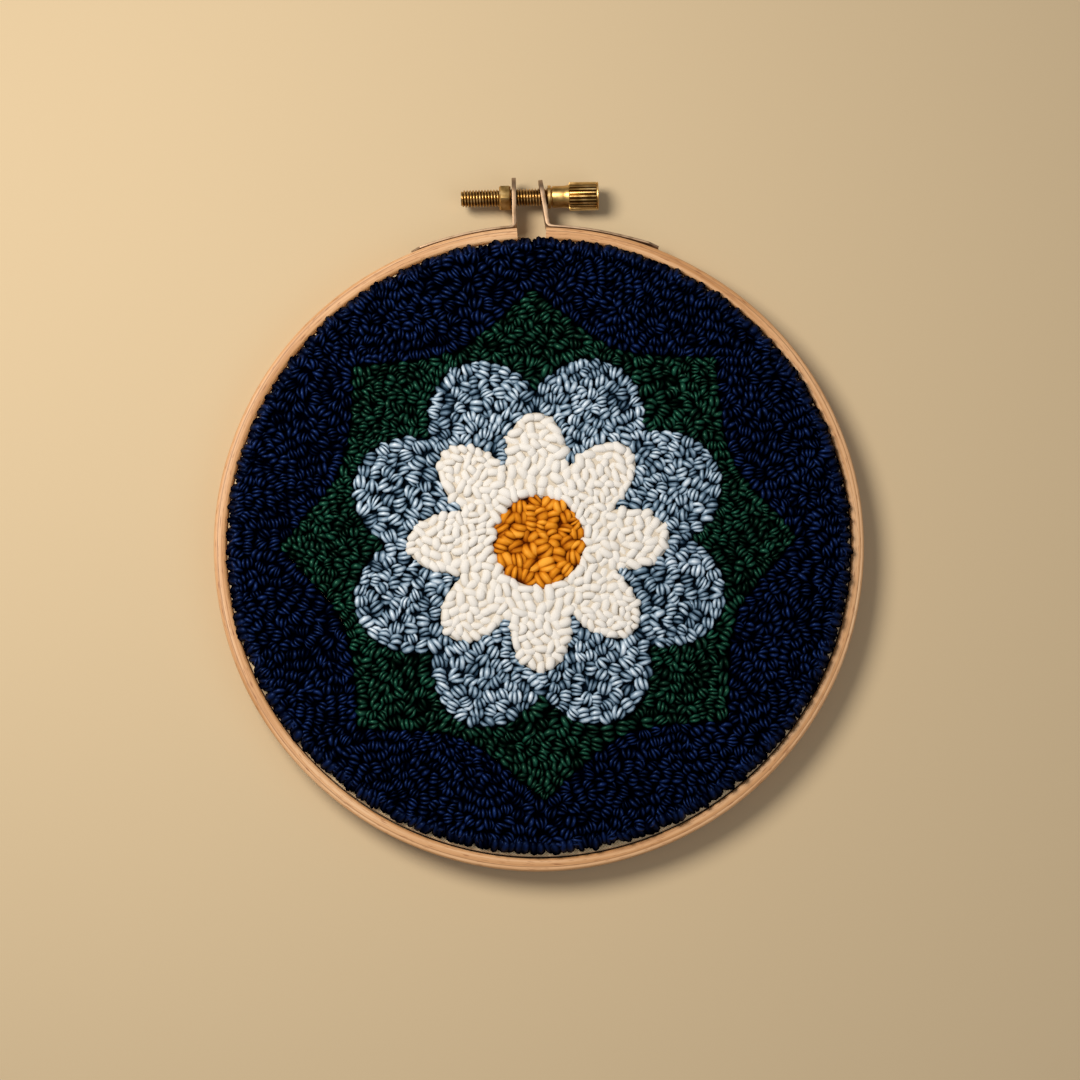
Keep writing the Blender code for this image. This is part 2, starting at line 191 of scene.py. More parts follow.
def set_shader(shader, **values):
    """Sets the shader's own sockets, with spaces for underscores in their names."""
    for name, value in values.items():
        shader.inputs[name.replace("_", " ")].default_value = value


def ramp(tree, factor, stops):
    """A colour ramp over factor with (place, hex colour) stops."""
    node = add(tree, "ValToRGB", {0: factor})
    while len(node.color_ramp.elements) < len(stops):
        node.color_ramp.elements.new(0.5)
    for element, (place, hex_colour) in zip(node.color_ramp.elements, stops):
        element.position = place
        element.color = linear(hex_colour)
    return node.outputs[0]


# %% [markdown]
# ## Yarn
# The loops are a soft stranded cotton with a low gloss along the top of each strand, which is turned
# down in the hollows where shade falls. Each strand carries two numbers, shade and tone. Shade is 0 on
# its crown and 1 where it dives between its neighbours: it paints the shade of the dark crevices into
# the colour. Tone differs from strand to strand.

# %% Yarn material
FUZZ = 0.1 * MM


def yarn_material(name, stops, roughness, gloss, tint):
    """Dyed cotton: a ramp from the lit crown to the crevice's painted shade, moved by tone and by fine
    fibres along the strand.

    The gloss takes the tint of the dye, as it does on mercerised yarn, so highlights stay coloured, and
    fades into the crevices as the painted shade deepens there.
    """
    material, tree, shader = new_material(name)
    shade = add(tree, "Attribute", attribute_name="shade").outputs["Fac"]
    tone = add(tree, "Attribute", attribute_name="tone").outputs["Fac"]
    along = add(tree, "Attribute", attribute_name="fibre").outputs["Vector"]
    fibres = add(tree, "TexNoise", {"Vector": along, "Scale": 1.0, "Detail": 2.0}).outputs["Fac"]
    uneven = add(tree, "Math", {0: fibres, 1: 0.16, 2: -0.08}, operation="MULTIPLY_ADD").outputs[0]
    moved = add(tree, "Math", {0: tone, 1: 0.22, 2: uneven}, operation="MULTIPLY_ADD").outputs[0]
    place = add(tree, "Math", {0: shade, 1: moved}, operation="ADD", use_clamp=True).outputs[0]
    tree.links.new(ramp(tree, place, stops), shader.inputs["Base Color"])
    # The gloss is turned down as the painted shade deepens, so the crevices keep no reflection.
    shine = add(tree, "Math", {0: place, 1: -1.4 * gloss, 2: gloss}, operation="MULTIPLY_ADD", use_clamp=True)
    tree.links.new(shine.outputs[0], shader.inputs["Specular IOR Level"])
    bump = add(tree, "Bump", {"Height": fibres, "Strength": 0.5, "Distance": FUZZ})
    tree.links.new(bump.outputs[0], shader.inputs["Normal"])
    set_shader(shader, Roughness=roughness, IOR=1.5, Specular_Tint=linear(tint))
    return material


# Each ramp runs from the lit colour of a crown to the dark of a crevice: its darker stops are painted shade.
YARNS = {
    "mustard": yarn_material(
        "mustard cotton yarn", [(0.0, "f6aa3a"), (0.26, "d88618"), (0.6, "944a08"), (1.0, "4a1a02")],
        0.6, 0.35, "ffd890"),
    "white": yarn_material(
        "off-white cotton yarn", [(0.0, "e8e6e3"), (0.4, "e4e1dc"), (0.75, "dcd5ca"), (1.0, "d2c8b8")],
        0.8, 0.2, "ffffff"),
    "slate": yarn_material(
        "blue-grey cotton yarn",
        [(0.0, "d6e4f2"), (0.22, "a8bdd0"), (0.48, "647f96"), (0.72, "1c3042"), (1.0, "050e18")],
        0.42, 1.0, "eaf4ff"),
    "green": yarn_material(
        "dark green cotton yarn", [(0.0, "114838"), (0.25, "093024"), (0.55, "02100a"), (1.0, "000201")],
        0.38, 0.5, "a0ecc8"),
    "navy": yarn_material(
        "navy cotton yarn", [(0.0, "0e2456"), (0.25, "07153c"), (0.55, "010518"), (1.0, "000005")],
        0.42, 0.5, "80a8ff"),
}
print("yarns:", list(YARNS))

# %% [markdown]
# ## Strands
# A loop of this yarn shows as a small bundle of strands that arch over side by side. One strand is a
# bent, flattened tube whose ends close to points below the surface. It could be a curve with a bevel,
# but thousands of curves are slow, so the formula works on all the strands at once.

# %% One strand, many times
CROWN_RISE = 0.2 * MM
PAINTED_SHADE_DEPTH = 2.2 * MM
FIBRE_ALONG, FIBRE_ACROSS, FIBRE_STEP = 350, 3800, 7.3


def strand_points(centre, along, across, up, half_length, half_width, half_height, drop, bow, stations,
                  sides):
    """Points of every strand, shaped (strands, stations, sides, 3), and the shade at each point.

    Along the strand u runs from -1 to 1. Its middle line is the centre plus u times the half length along
    it, plus bow times (u squared - 0.3) across it, minus drop times |u| to the 2.4 below it. Round that
    line goes an ellipse, half_width by half_height, times the sixth-power round-off sqrt(1 - u^6). The
    shade is painted shade: 1 less the crown, which fades to the sides and ends and, over the painted
    shade depth, downwards, so that side-facing and deep yarn is coloured darker.
    """
    u = stations[None, :, None]
    line = (centre[:, None] + along[:, None] * (half_length[:, None, None] * u)
            + across[:, None] * (bow[:, None, None] * (u ** 2 - 0.3)))
    line = line - up[:, None] * (drop[:, None, None] * np.abs(u) ** 2.4)
    slope = 2.4 * drop[:, None, None] * np.sign(u) * np.abs(u) ** 1.4 / half_length[:, None, None]
    lean = up[:, None] + along[:, None] * slope
    lean = lean / np.linalg.norm(lean, axis=-1, keepdims=True)
    angle = np.pi / 2 + np.arange(sides) / sides * math.tau
    size = np.sqrt(np.clip(1 - stations ** 6, 0, 1))[None, :, None, None]
    ring = (across[:, None, None] * (half_width[:, None, None, None] * np.cos(angle)[None, None, :, None])
            + lean[:, :, None] * (half_height[:, None, None, None] * np.sin(angle)[None, None, :, None]))
    points = line[:, :, None] + size * ring
    crown = np.clip(np.sin(angle), 0, 1)[None, None, :] * (1 - 0.6 * np.abs(stations) ** 3)[None, :, None]
    depth = np.clip((PILE_TOP + CROWN_RISE - points[..., 2]) / PAINTED_SHADE_DEPTH, 0, 1)
    return points, 1 - crown * (1 - 0.85 * depth)


def strand_faces(strands, stations, sides):
    """Quads between a strand's inner rings, and triangles to the point at each end."""
    rings = stations - 2
    start = (np.arange(strands) * (rings * sides + 2))[:, None, None]
    quads = start + grid_quads(rings, sides, False, True)[None, :, ::-1]
    triangles = start + end_fans(sides, rings * sides, rings * sides + 1, (rings - 1) * sides)[None]
    return quads.reshape(-1, 4), triangles.reshape(-1, 3)


def strand_arrays(strands, tone, stations, sides):
    """Everything that a mesh of these strands needs: points, faces, shade, tone and fibre coordinates."""
    points, shade = strand_points(**strands, stations=stations, sides=sides)
    count = len(points)
    ends = points[:, [0, -1]].mean(axis=2)
    points = np.concatenate([points[:, 1:-1].reshape(count, -1, 3), ends], axis=1)
    shade = np.concatenate([shade[:, 1:-1].reshape(count, -1), np.ones((count, 2))], axis=1)
    per_strand = points.shape[1]
    quads, triangles = strand_faces(count, len(stations), sides)
    local = points - strands["centre"][:, None]
    fibre = np.stack([
        np.einsum("spk,sk->sp", local, strands["along"]) * FIBRE_ALONG,
        np.einsum("spk,sk->sp", local, strands["across"]) * FIBRE_ACROSS,
        np.broadcast_to(np.arange(count)[:, None] * FIBRE_STEP, (count, per_strand)),
    ], axis=-1)
    return {"points": points.reshape(-1, 3), "quads": quads, "triangles": triangles, "shade": shade.ravel(),
            "tone": np.repeat(tone, per_strand), "fibre": fibre.reshape(-1, 3)}


def joined(parts):
    """Several such sets of arrays as one, with the corner numbers moved on."""
    starts = np.concatenate([[0], np.cumsum([len(p["points"]) for p in parts])[:-1]])
    both = {key: np.concatenate([p[key] for p in parts]) for key in ("points", "shade", "tone", "fibre")}
    for key in ("quads", "triangles"):
        both[key] = np.concatenate([p[key] + start for p, start in zip(parts, starts)])
    return both


# %% [markdown]
# ## Where the loops go
# Punched loops crowd together until each has the same room. Relaxing a scatter does that: seeds start
# at random, and each moves to the middle of the ground that is nearer to it than to any other seed,
# fourteen times over. The spread of that ground along and across a loop is then the loop's own size, so
# that the loops fill a pointed leaf or a narrow band as closely as a maker would.

# %% Seeds that share out a field
GRAIN = 0.36 * MM
axis = np.arange(-RIM_RADIUS, RIM_RADIUS, GRAIN)
GROUND = np.stack(np.meshgrid(axis, axis, indexing="ij"), axis=-1).reshape(-1, 2)
GROUND_ANGLE = np.arctan2(GROUND[:, 1], GROUND[:, 0])
GROUND_RADIUS = np.hypot(GROUND[:, 0], GROUND[:, 1])


def nearest(points, seeds, block=6000):
    """The number of the seed nearest to each point, a block of points at a time."""
    found = []
    for start in range(0, len(points), block):
        some = points[start:start + block].astype(np.float32)
        square = (seeds ** 2).sum(1)[None] - 2 * some @ seeds.T
        found.append(square.argmin(1))
    return np.concatenate(found)


def share_out(inside, room, rng, rounds=14):
    """Seeds with about room square metres each, and the 2 by 2 spread of each one's ground."""
    points = GROUND[inside]
    count = max(3, int(len(points) * GRAIN ** 2 / room))
    seeds = points[rng.choice(len(points), count, replace=False)].astype(np.float32)
    for _ in range(rounds):
        owner = nearest(points, seeds)
        size = np.maximum(np.bincount(owner, minlength=count), 1)
        seeds = np.stack([np.bincount(owner, points[:, k], count) / size for k in (0, 1)], axis=1)
        seeds = seeds.astype(np.float32)
    away = points - seeds[owner]
    spread = np.stack([
        np.stack([np.bincount(owner, away[:, a] * away[:, b], count) / size for b in (0, 1)], axis=1)
        for a in (0, 1)
    ], axis=1)
    return seeds.astype(float), spread


# %% [markdown]
# ## Colour fields
# The rosette is five fields, one yarn colour each. Where one colour stops and the next starts is a curve
# in polar form: a circle, rounded lobes (|cos| raised to 0.8) or pointed lobes (|sin| raised to 0.9),
# the same curves that part the model's solids.

# %% The curves between the colours
LOBES = 8
HALF_LOBE = math.pi / LOBES
COLOUR_GAP = 0.4 * MM
PETAL_VALLEY = 17.5 * MM
SLATE_VALLEY, SLATE_TIP = 34.5 * MM, 45.0 * MM
LEAF_VALLEY = 48.5 * MM


def tip_of(node):
    """The furthest reach of a colour's solid, half a gap out, where the next colour starts."""
    low, high, _ = spans(node)
    return max(high[0] - low[0], high[1] - low[1]) / 2 + COLOUR_GAP / 2


def round_lobes(valley, tip, turn):
    """The radius is the valley plus the rise to the tip times |cos| of half the lobes' angle to the 0.8."""
    return lambda angle: valley + (tip - valley) * np.abs(np.cos(LOBES / 2 * (angle - turn))) ** 0.8


def pointed_lobes(valley, tip, turn):
    """The radius is the tip less the fall to the valley times |sin| of half the lobes' angle to the 0.9."""
    return lambda angle: tip - (tip - valley) * np.abs(np.sin(LOBES / 2 * (angle - turn))) ** 0.9


def circle(radius):
    """The same radius at every angle."""
    return lambda angle: np.full_like(angle, radius)


CENTRE_EDGE = circle(tip_of("pile_centre"))
PETAL_EDGE = round_lobes(PETAL_VALLEY, tip_of("pile_petals"), 0)
SLATE_EDGE = round_lobes(SLATE_VALLEY, SLATE_TIP, HALF_LOBE)
LEAF_EDGE = pointed_lobes(LEAF_VALLEY, tip_of("pile_leaves"), 0)
print(f"petal tips at {1000 * tip_of('pile_petals'):.1f} mm,",
      f"leaf tips at {1000 * tip_of('pile_leaves'):.1f} mm")

# %% [markdown]
# ## A field of loops
# Each colour has its own way of looping: blue-grey in bundles of two to four strands, navy in the same
# but smaller, green in twos and threes, off-white in single fat strands, mustard in long leaf-like ones.
# Under them lies a bed of the same yarn, coloured all over in the painted shade of its crevices, so
# that no cloth shows through.

# %% Looping styles
STYLES = {
    # room: face taken by a loop, mm2. width: a strand, mm. least, most: strands in a loop.
    # reach: half a loop's length over the spread of its ground. fill: a strand's width over its share.
    # turn: scatter of the loops' headings, rad. lift: scatter of their heights, mm. dome: fall of the
    # outer strands, mm. drop: fall of a strand's ends, mm. fan: spread of the strands' headings, rad.
    # bed: depth of the crevice floor under the crowns, mm. plump: a strand's height over its width.
    "mustard": {"room": 8.6, "width": 1.3, "least": 2, "most": 3, "reach": 2.15, "fill": 1.38, "turn": 1.0,
                "lift": 0.2, "dome": 0.35, "drop": 1.1, "fan": 0.35, "bed": 1.3, "plump": 1.0},
    "white": {"room": 4.2, "width": 2.1, "least": 1, "most": 1, "reach": 2.9, "fill": 0.95, "turn": 0.7,
              "lift": 0.18, "dome": 0.15, "drop": 0.65, "fan": 0.25, "bed": 0.75, "plump": 0.72},
    "slate": {"room": 7.4, "width": 0.98, "least": 2, "most": 4, "reach": 1.9, "fill": 1.12, "turn": 0.45,
              "lift": 0.36, "dome": 0.5, "drop": 1.5, "fan": 0.28, "bed": 1.9, "plump": 1.1},
    "green": {"room": 5.8, "width": 0.95, "least": 2, "most": 3, "reach": 1.75, "fill": 0.98, "turn": 0.5,
              "lift": 0.4, "dome": 0.45, "drop": 1.4, "fan": 0.25, "bed": 2.0, "plump": 1.1},
    "navy": {"room": 6.6, "width": 0.92, "least": 2, "most": 4, "reach": 1.6, "fill": 0.88, "turn": 0.4,
             "lift": 0.38, "dome": 0.4, "drop": 1.4, "fan": 0.25, "bed": 2.0, "plump": 1.1},
}
FINE = np.array([-1, -0.88, -0.5, 0, 0.5, 0.88, 1])
FAT = np.array([-1, -0.94, -0.78, -0.45, 0, 0.45, 0.78, 0.94, 1])
FLOW_WAVES = 5
FLOW_LENGTH = 22 * MM
FLOW_SWING = 0.55
LOOP_BREADTH = 1.8
LIFT_LIMITS = (-0.9 * MM, 0.25 * MM)
STRAND_HEIGHTS = (0.42 * MM, 0.9 * MM)
TONE_SCATTER = 0.4
BED_MARGIN = 0.03 * MM
BED_FIBRE = 900


def unit(vectors):
    """Each vector divided by its length."""
    return vectors / np.linalg.norm(vectors, axis=-1, keepdims=True)


def flow(seeds, rng):
    """How far the row that a loop belongs to turns from outwards: a few slow waves over the face, summed."""
    swing = np.zeros(len(seeds))
    for _ in range(FLOW_WAVES):
        heading, phase = rng.uniform(0, math.tau, 2)
        along = seeds @ [math.cos(heading), math.sin(heading)]
        swing += FLOW_SWING * np.sin(along / FLOW_LENGTH * math.tau * rng.uniform(0.7, 1.4) + phase)
    return swing


def strands_of_loops(strands, rng):
    """For a count of strands per loop: each strand's loop, its share of the loop's width and its place.

    Widths are uneven, by a third either way. The place runs from -1 to 1 across the loop.
    """
    loop = np.repeat(np.arange(len(strands)), strands)
    first = (np.cumsum(strands) - strands)[loop]
    width = rng.uniform(0.67, 1.33, len(loop))
    share = width / np.bincount(loop, width)[loop]
    run = np.cumsum(share)
    place = 2 * (run - share / 2 - (run - share)[first]) - 1
    return loop, share, place


def bundle(seeds, spread, style, rng):
    """The strands of a loop at each seed, as the arrays that strand_points takes.

    A loop is 1.8 times as broad as the spread of its ground, so that loops of a row touch. Its strands
    lie side by side over a low dome, lean outwards with it, and fan a little.
    """
    count = len(seeds)
    outward = np.arctan2(seeds[:, 1], seeds[:, 0])
    heading = outward + flow(seeds, rng) + rng.normal(0, style["turn"], count)
    d = np.stack([np.cos(heading), np.sin(heading)], axis=1)
    p = np.stack([-d[:, 1], d[:, 0]], axis=1)
    reach = style["reach"] * np.sqrt(np.einsum("ni,nij,nj->n", d, spread, d))
    breadth = LOOP_BREADTH * np.sqrt(np.einsum("ni,nij,nj->n", p, spread, p))
    wanted = 2 * breadth / (style["width"] * MM) + rng.uniform(-0.6, 0.6, count)
    strands = np.clip(np.round(wanted), style["least"], style["most"]).astype(int)
    loop, share, place = strands_of_loops(strands, rng)
    fan = rng.normal(0, style["fan"], count)[loop] * place
    heading = heading[loop] + fan + rng.normal(0, 0.09, len(loop))
    lift = rng.normal(0, style["lift"] * MM, count)[loop] + rng.normal(0, 0.1 * MM, len(loop))
    top = PILE_TOP + np.clip(lift, *LIFT_LIMITS) - style["dome"] * MM * place ** 2
    half_width = style["fill"] * breadth[loop] * share
    half_height = np.clip(half_width * style["plump"], *STRAND_HEIGHTS)
    side = breadth[loop] * place
    slip = rng.normal(0, 0.14, len(loop)) * reach[loop]
    x, y = (seeds[loop, k] + p[loop, k] * side + d[loop, k] * slip + HOOP_CENTRE[k] for k in (0, 1))
    tip = np.clip(rng.normal(0, 0.14, count), -0.2, 0.2)[loop]
    along = unit(np.stack([np.cos(heading), np.sin(heading), tip], axis=1))
    lean = np.concatenate([p[loop] * (0.5 * place)[:, None], np.ones((len(loop), 1))], axis=1)
    across = unit(np.cross(lean, along))
    return {
        "centre": np.stack([x, y, top - half_height], axis=1),
        "along": along,
        "across": across,
        "up": np.cross(along, across),
        "half_length": reach[loop] * np.sqrt(1 - 0.25 * place ** 2) * rng.uniform(0.8, 1.1, len(loop)),
        "half_width": half_width,
        "half_height": half_height,
        "drop": style["drop"] * MM * rng.uniform(0.8, 1.2, len(loop)),
        "bow": rng.normal(0, 0.28 * MM, count)[loop] + rng.normal(0, 0.1 * MM, len(loop)) - side * 0.18,
    }


def bed_arrays(points, quads, triangles):
    """A bed's mesh arrays: crevice shade all over, no tone, and fibres that follow the points."""
    count = len(points)
    # Shade 1 paints the whole bed in the dark of a crevice: a dark sheet where only shade shows.
    return {"points": points, "quads": quads, "triangles": triangles, "shade": np.ones(count),
            "tone": np.zeros(count), "fibre": points * BED_FIBRE}


def bed(inner, outer, yarn, columns=192, rows=7):
    """A closed low slab under the loops, between two curves: its top is the crevice floor, all in painted
    shade.

    The radius runs evenly from the inner curve to the outer, and the top's two edges lie 0.2 mm lower.
    """
    angle = np.arange(columns) / columns * math.tau
    start, end = inner(angle) + BED_MARGIN, outer(angle) - BED_MARGIN
    share = np.linspace(0, 1, rows)[:, None]
    top = PILE_TOP - STYLES[yarn]["bed"] * MM - 0.2 * MM * (np.abs(2 * share - 1) > 0.99)
    rings = [about_hoop(end, angle, PILE_BASE), about_hoop(start, angle, PILE_BASE)]
    rings += list(about_hoop(start + (end - start) * share, angle[None], top))
    points = np.stack(rings).reshape(-1, 3)
    return bed_arrays(points, grid_quads(rows + 2, columns, True, True), np.zeros((0, 3), int))


def button_bed(outer, yarn, columns=96):
    """The middle colour's bed: a low drum, closed to a point above and below."""
    depth = STYLES[yarn]["bed"] * MM
    angle = np.arange(columns) / columns * math.tau
    edge = outer(angle) - BED_MARGIN
    rings = np.stack([
        about_hoop(edge, angle, PILE_BASE), about_hoop(edge, angle, PILE_TOP - depth - 0.4 * MM),
        about_hoop(edge * 0.9, angle, PILE_TOP - depth)])
    poles = [about_hoop(0.0, 0.0, PILE_BASE), about_hoop(0.0, 0.0, PILE_TOP - depth)]
    points = np.concatenate([rings.reshape(-1, 3), poles])
    triangles = end_fans(columns, 3 * columns, 3 * columns + 1, 2 * columns)
    return bed_arrays(points, grid_quads(3, columns, False, True)[:, ::-1], triangles)


# %% The four inner fields


def field_piece(name, parts, yarn, *nodes):
    """Makes one piece of a yarn's loops, bed or stitches. Loops stand for the solid of their colour."""
    arrays = joined(parts)
    piece = make_piece(name, arrays["points"], arrays["quads"], arrays["triangles"],
                       material=YARNS[yarn])
    for key in ("shade", "tone"):
        attribute = piece.data.attributes.new(key, "FLOAT", "POINT")
        attribute.data.foreach_set("value", arrays[key].astype(np.float32))
    fibre = piece.data.attributes.new("fibre", "FLOAT_VECTOR", "POINT")
    fibre.data.foreach_set("vector", arrays["fibre"].astype(np.float32).ravel())
    if nodes:
        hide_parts(*nodes)
    faces = len(arrays["quads"]) * 2 + len(arrays["triangles"])
    print(f"{name}: {faces} triangles")


def loops_between(inner, outer, yarn, seed):
    """The loops of a colour between two curves. Returns the seeds, the strands' arrays and their tones."""
    rng = np.random.default_rng(seed)
    style = STYLES[yarn]
    margin = 0.1 * MM
    inside = (GROUND_RADIUS > inner(GROUND_ANGLE) + margin) & (GROUND_RADIUS < outer(GROUND_ANGLE) - margin)
    seeds, spread = share_out(inside, style["room"] * MM ** 2, rng)
    strands = bundle(seeds, spread, style, rng)
    tone = rng.normal(0, TONE_SCATTER, len(strands["centre"]))
    return seeds, strands, tone


def some_of(strands, tone, chosen):
    """The chosen strands' arrays and their tones."""
    return {key: value[chosen] for key, value in strands.items()}, tone[chosen]


FIELDS = (
    # piece, inner edge, outer edge, yarn, node, stations along a strand, sides round it
    ("loops_centre", circle(-MM), CENTRE_EDGE, "mustard", "pile_centre", FAT, 10),
    ("loops_petals", CENTRE_EDGE, PETAL_EDGE, "white", "pile_petals", FAT, 10),
    ("loops_slate", PETAL_EDGE, SLATE_EDGE, "slate", "pile_slate", FINE, 8),
    ("loops_leaves", SLATE_EDGE, LEAF_EDGE, "green", "pile_leaves", FINE, 8),
)
STITCHES = {}
for number, (name, inner, outer, yarn, node, stations, sides) in enumerate(FIELDS):
    seeds, strands, tone = loops_between(inner, outer, yarn, 11 + number)
    under = button_bed(outer, yarn) if name == "loops_centre" else bed(inner, outer, yarn)
    field_piece(name, [under, strand_arrays(strands, tone, stations, sides)], yarn, node)
    STITCHES[yarn] = seeds

# %% [markdown]
# ## The navy ground and its rim
# The ground has the most loops, so it is cut into two pieces at the middle of the hoop. Round the rim
# the outermost loops are seen from the side, where their strands stand up from the cloth and roll over.

# %% Ground loops
RIM_LOOPS = 134
RIM_LEAN = math.radians(50)
RIM_ROW, RIM_CENTRE, RIM_BED = 1.1 * MM, 0.75 * MM, 0.6 * MM
RIM_NOTCH = 1.0 * MM
RIM_DEPTH = 1.55 * MM
RIM_SLACK = 0.6 * MM
RIM_SIDES = 6


def rim_edge(inset):
    """The pile's edge less an inset. It stops short on the hoop's lower side, where a band of cloth shows.

    The shortfall is the slack times the square of -sin of the angle, where that is above 0.
    """
    return lambda angle: RIM_RADIUS - inset - RIM_SLACK * np.clip(-np.sin(angle), 0, 1) ** 2


def rim_strands(rng):
    """Strands of the outermost row of loops, which rise from the cloth and roll over inwards.

    A strand's crown faces outwards and up, by the lean from level. Its loop bulges: the middle strand
    stands further out than the outer ones, by the notch that shows the cloth between two loops.
    """
    strands = rng.integers(2, 4, RIM_LOOPS)
    loop, share, place = strands_of_loops(strands, rng)
    half_loop = math.pi / RIM_LOOPS * rng.uniform(0.9, 1.05, RIM_LOOPS)[loop]
    middle = ((np.arange(RIM_LOOPS) + rng.uniform(-0.1, 0.1, RIM_LOOPS)) / RIM_LOOPS * math.tau)[loop]
    angle = middle + half_loop * place
    out = np.stack([np.cos(angle), np.sin(angle), np.zeros(len(angle))], axis=1)
    tangent = np.stack([-np.sin(angle), np.cos(angle), np.zeros(len(angle))], axis=1)
    up = math.cos(RIM_LEAN) * out + [0, 0, math.sin(RIM_LEAN)] + 0.5 * place[:, None] * tangent
    along = math.sin(RIM_LEAN) * -out + [0, 0, math.cos(RIM_LEAN)]
    along = unit(along + tangent * (rng.normal(0, 0.22, RIM_LOOPS)[loop])[:, None])
    across = unit(np.cross(up, along))
    out_by = rng.normal(0, 0.16 * MM, RIM_LOOPS)[loop] - RIM_NOTCH * place ** 2
    height = PILE_TOP - RIM_DEPTH + rng.normal(0, 0.15 * MM, RIM_LOOPS)[loop]
    count = len(loop)
    half_width = 1.25 * share * math.pi / RIM_LOOPS * RIM_RADIUS
    return {"centre": about_hoop(rim_edge(RIM_CENTRE)(angle) + out_by, angle, height),
            "along": along, "across": across, "up": np.cross(along, across),
            "half_length": rng.uniform(1.6, 1.9, count) * MM,
            "half_width": half_width, "half_height": np.clip(half_width, 0.45 * MM, 0.75 * MM),
            "drop": rng.uniform(0.5, 0.8, count) * MM, "bow": rng.normal(0, 0.15 * MM, count)}


ground_seeds, ground_strands, ground_tone = loops_between(LEAF_EDGE, rim_edge(RIM_ROW), "navy", 31)
rim_rng = np.random.default_rng(41)
rim = rim_strands(rim_rng)
rim_tone = rim_rng.normal(0, TONE_SCATTER, len(rim["centre"]))
STITCHES["navy"] = ground_seeds
side_of = ground_strands["centre"][:, 1] > HOOP_CENTRE[1]
rim_side = rim["centre"][:, 1] > HOOP_CENTRE[1]
for name, mask, rim_mask in (
        ("loops_ground_upper", side_of, rim_side), ("loops_ground_lower", ~side_of, ~rim_side)):
    parts = [strand_arrays(*some_of(ground_strands, ground_tone, mask), FINE, RIM_SIDES),
             strand_arrays(*some_of(rim, rim_tone, rim_mask), FINE, RIM_SIDES)]
    if name == "loops_ground_upper":
        parts.append(bed(LEAF_EDGE, rim_edge(RIM_BED), "navy"))
    field_piece(name, parts, "navy", "pile_ground")

# %% [markdown]
# ## Beech rings
# Both rings are bent beech: a pale, pinkish-tan wood with fine straight grain that follows the bend and
# short darker flecks. Each is a rounded section carried round the hoop, with a uv map in real metres
# (round the ring, across the section), so that the grain runs with the wood.

# %% Wood material
PLY_LINE, PLY_LINE_HALF = 1.5 * MM, 0.11 * MM
PLY_WANDER = 0.3 * MM


def wood_material():
    """Sanded and waxed beech: streaks 0.7 mm wide, flecks 3 mm long, a slow change of tone.

    The strip is two plies glued together. Their joint is a fine dark line at a distance across the uv,
    which starts at the foot of the section's outer top corner.
    """
    material, tree, shader = new_material("waxed beech")
    uv = add(tree, "UVMap", uv_map="flat").outputs[0]
    streak_at = add(tree, "Mapping", {"Vector": uv, "Scale": (28, 1500, 1)}).outputs[0]
    fleck_at = add(tree, "Mapping", {"Vector": uv, "Scale": (330, 4200, 1)}).outputs[0]
    slow_at = add(tree, "Mapping", {"Vector": uv, "Scale": (12, 90, 1)}).outputs[0]
    streaks = add(tree, "TexNoise", {
        "Vector": streak_at, "Scale": 1.0, "Detail": 3.0, "Distortion": 0.3}).outputs["Fac"]
    flecks = add(tree, "TexNoise", {"Vector": fleck_at, "Scale": 1.0, "Detail": 1.0}).outputs["Fac"]
    slow = add(tree, "TexNoise", {"Vector": slow_at, "Scale": 1.0, "Detail": 2.0}).outputs["Fac"]
    body = add(tree, "Mix", {0: 0.4, 2: streaks, 3: slow}).outputs[0]
    wood = ramp(tree, body, [(0.32, "b27d4a"), (0.5, "d3a272"), (0.68, "e6bf95")])
    spot = ramp(tree, flecks, [(0.6, "ffffff"), (0.72, "a67850")])
    flecked = add(tree, "Mix", {0: 0.75, 6: wood, 7: spot},
                  data_type="RGBA", blend_type="MULTIPLY").outputs[2]
    across = add(tree, "SeparateXYZ", {0: uv}).outputs["Y"]
    wander = add(tree, "Math", {0: slow, 1: PLY_WANDER, 2: across}, operation="MULTIPLY_ADD").outputs[0]
    near = add(tree, "Math", {0: wander, 1: PLY_LINE, 2: PLY_LINE_HALF}, operation="COMPARE").outputs[0]
    strength = add(tree, "Math", {0: near, 1: streaks}, operation="MULTIPLY").outputs[0]
    lined = add(tree, "Mix", {0: strength, 6: flecked, 7: linear("7a4e2a")}, data_type="RGBA").outputs[2]
    tree.links.new(lined, shader.inputs["Base Color"])
    bump = add(tree, "Bump", {"Height": body, "Strength": 0.35, "Distance": 0.1 * MM})
    tree.links.new(bump.outputs[0], shader.inputs["Normal"])
    set_shader(shader, Roughness=0.48, IOR=1.5, Specular_IOR_Level=0.35, Coat_Weight=0.08, Coat_Roughness=0.4)
    return material


BEECH = wood_material()
print("wood:", BEECH.name)

# %% Ring shapes
END_GRAIN = 0.12


def rounded_section(low, high, corner, steps=5):
    """Points round a rectangle from low to high (radius, height) whose corners are quarter circles."""
    quarter = np.linspace(0, math.pi / 2, steps)
    middles = [(high[0] - corner, high[1] - corner), (low[0] + corner, high[1] - corner),
               (low[0] + corner, low[1] + corner), (high[0] - corner, low[1] + corner)]
    turns = [quarter + k * math.pi / 2 for k in range(4)]
    return np.concatenate([
        np.stack([x + corner * np.cos(turn), z + corner * np.sin(turn)], axis=1)
        for (x, z), turn in zip(middles, turns)])


